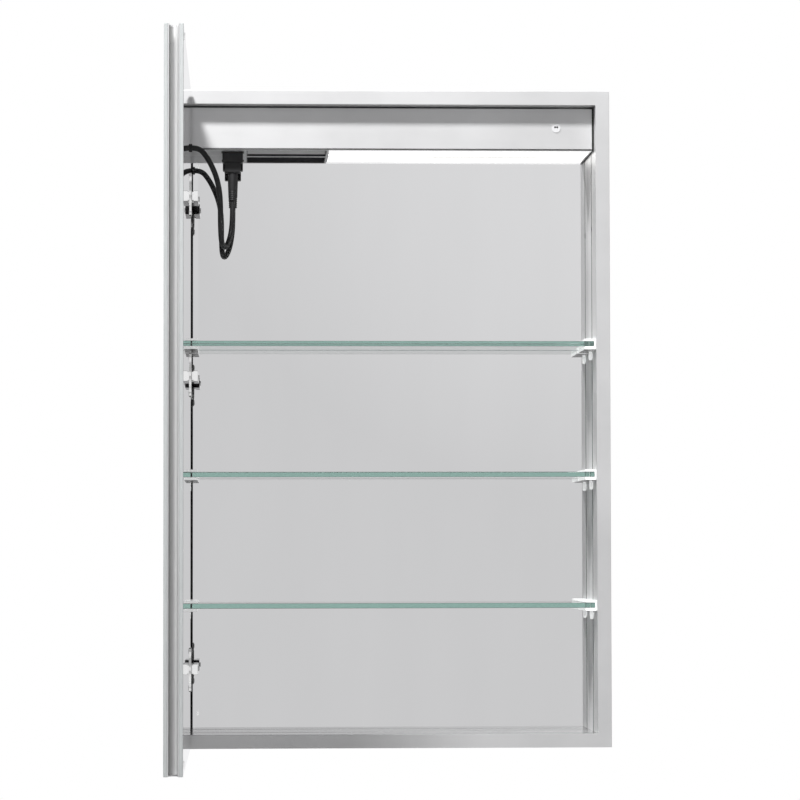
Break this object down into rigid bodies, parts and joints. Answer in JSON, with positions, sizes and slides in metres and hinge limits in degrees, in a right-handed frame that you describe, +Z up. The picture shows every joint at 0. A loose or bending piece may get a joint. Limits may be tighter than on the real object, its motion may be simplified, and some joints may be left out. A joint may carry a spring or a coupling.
{
  "type": "medicine cabinet with mirror",
  "caption": "Recessed aluminium bathroom cabinet with a mirrored door on concealed hinges, mirrored back, lit head with sockets, and movable glass shelves.",
  "frame": {"origin": "middle of the cabinet's back face, where it meets the wall recess", "axes": "+X to the right seen from the front, +Y into the wall, +Z up; the door stands open at a right angle at rest"},
  "size_m": [0.508, 0.6113, 0.762],
  "materials": {
    "anodised_aluminium": "satin anodised, fine lengthwise grain",
    "mirror": "silvered float glass with polished edges",
    "shelf_glass": "polished float glass, pale green at the edges",
    "clear_plastic": "frosted clear plastic",
    "pale_plastic": "pale grey moulded plastic",
    "black_plastic": "fine moulded texture",
    "grey_plastic": "fine moulded texture",
    "black_rubber": "soft black sheath",
    "dark_lens": "polished black",
    "opal_lens": "lit opal acrylic",
    "light_board": "white solder mask",
    "driver_case": "white painted can",
    "foam_pad": "closed-cell foam",
    "back_sheet": "zinc-coated sheet",
    "zinc": "zinc plated",
    "nickel": "nickel plated",
    "steel_screw": "bright zinc",
    "brass_blade": "bright",
    "filler_board": "ribbed filler",
    "heater_film": "laminated film"
  },
  "bodies": {
    "cabinet": {"back_mirror": "mirror", "back_panel": "back_sheet", "bottom_rail": "anodised_aluminium", "corner_keys": "zinc", "door_lead": "black_rubber", "head_bracket": "zinc", "head_end_caps": "black_plastic", "head_front": "anodised_aluminium", "head_screws": "steel_screw", "head_tray": "anodised_aluminium", "hinge_adjusters": "steel_screw", "hinge_arm_1": "nickel", "hinge_arm_2": "nickel", "hinge_arm_3": "nickel", "hinge_plate_1": "nickel", "hinge_plate_2": "nickel", "hinge_plate_3": "nickel", "hinge_plate_screws": "steel_screw", "lead_plug": "black_rubber", "lead_socket": "black_plastic", "left_side": "anodised_aluminium", "light_board": "light_board", "light_driver": "driver_case", "light_lens": "opal_lens", "mirror_pad": "foam_pad", "outlet_box": "black_plastic", "outlet_panel": "grey_plastic", "plug_blades": "brass_blade", "right_side": "anodised_aluminium", "sensor_eyes": "dark_lens", "sensor_housing": "pale_plastic", "top_rail": "anodised_aluminium"},
    "door": {"door_outer_mirror": "mirror", "door_inner_mirror": "mirror", "hinge_stile": "anodised_aluminium", "pull_stile": "anodised_aluminium", "door_top_rail": "anodised_aluminium", "door_bottom_rail": "anodised_aluminium", "door_end_caps": "black_plastic", "door_filler": "filler_board", "heater_pad": "heater_film", "door_bumpers": "clear_plastic", "door_gland": "black_rubber", "hinge_cup_1": "nickel", "hinge_cup_2": "nickel", "hinge_cup_3": "nickel", "hinge_pins": "steel_screw", "cup_screws": "steel_screw"},
    "top_shelf": {"shelf_glass_1": "shelf_glass", "shelf_clips_1": "clear_plastic", "shelf_pegs_1": "clear_plastic"},
    "middle_shelf": {"shelf_glass_2": "shelf_glass", "shelf_clips_2": "clear_plastic", "shelf_pegs_2": "clear_plastic"},
    "bottom_shelf": {"shelf_glass_3": "shelf_glass", "shelf_clips_3": "clear_plastic", "shelf_pegs_3": "clear_plastic"}
  },
  "joints": [
    {"name": "door_swing", "type": "hinge", "parent": "cabinet", "child": "door", "pos_m": [-0.24526, -0.113, 0], "axis": [0, 0, -1], "range_deg": [-90, 10], "deforming": ["door_lead"]},
    {"name": "top_shelf_slide", "type": "slide", "parent": "cabinet", "child": "top_shelf", "axis": [0, 0, 1], "range_m": [-0.008, 0.09]},
    {"name": "middle_shelf_slide", "type": "slide", "parent": "cabinet", "child": "middle_shelf", "axis": [0, 0, 1], "range_m": [-0.08, 0.08]},
    {"name": "bottom_shelf_slide", "type": "slide", "parent": "cabinet", "child": "bottom_shelf", "axis": [0, 0, 1], "range_m": [-0.035, 0.035]}
  ]
}
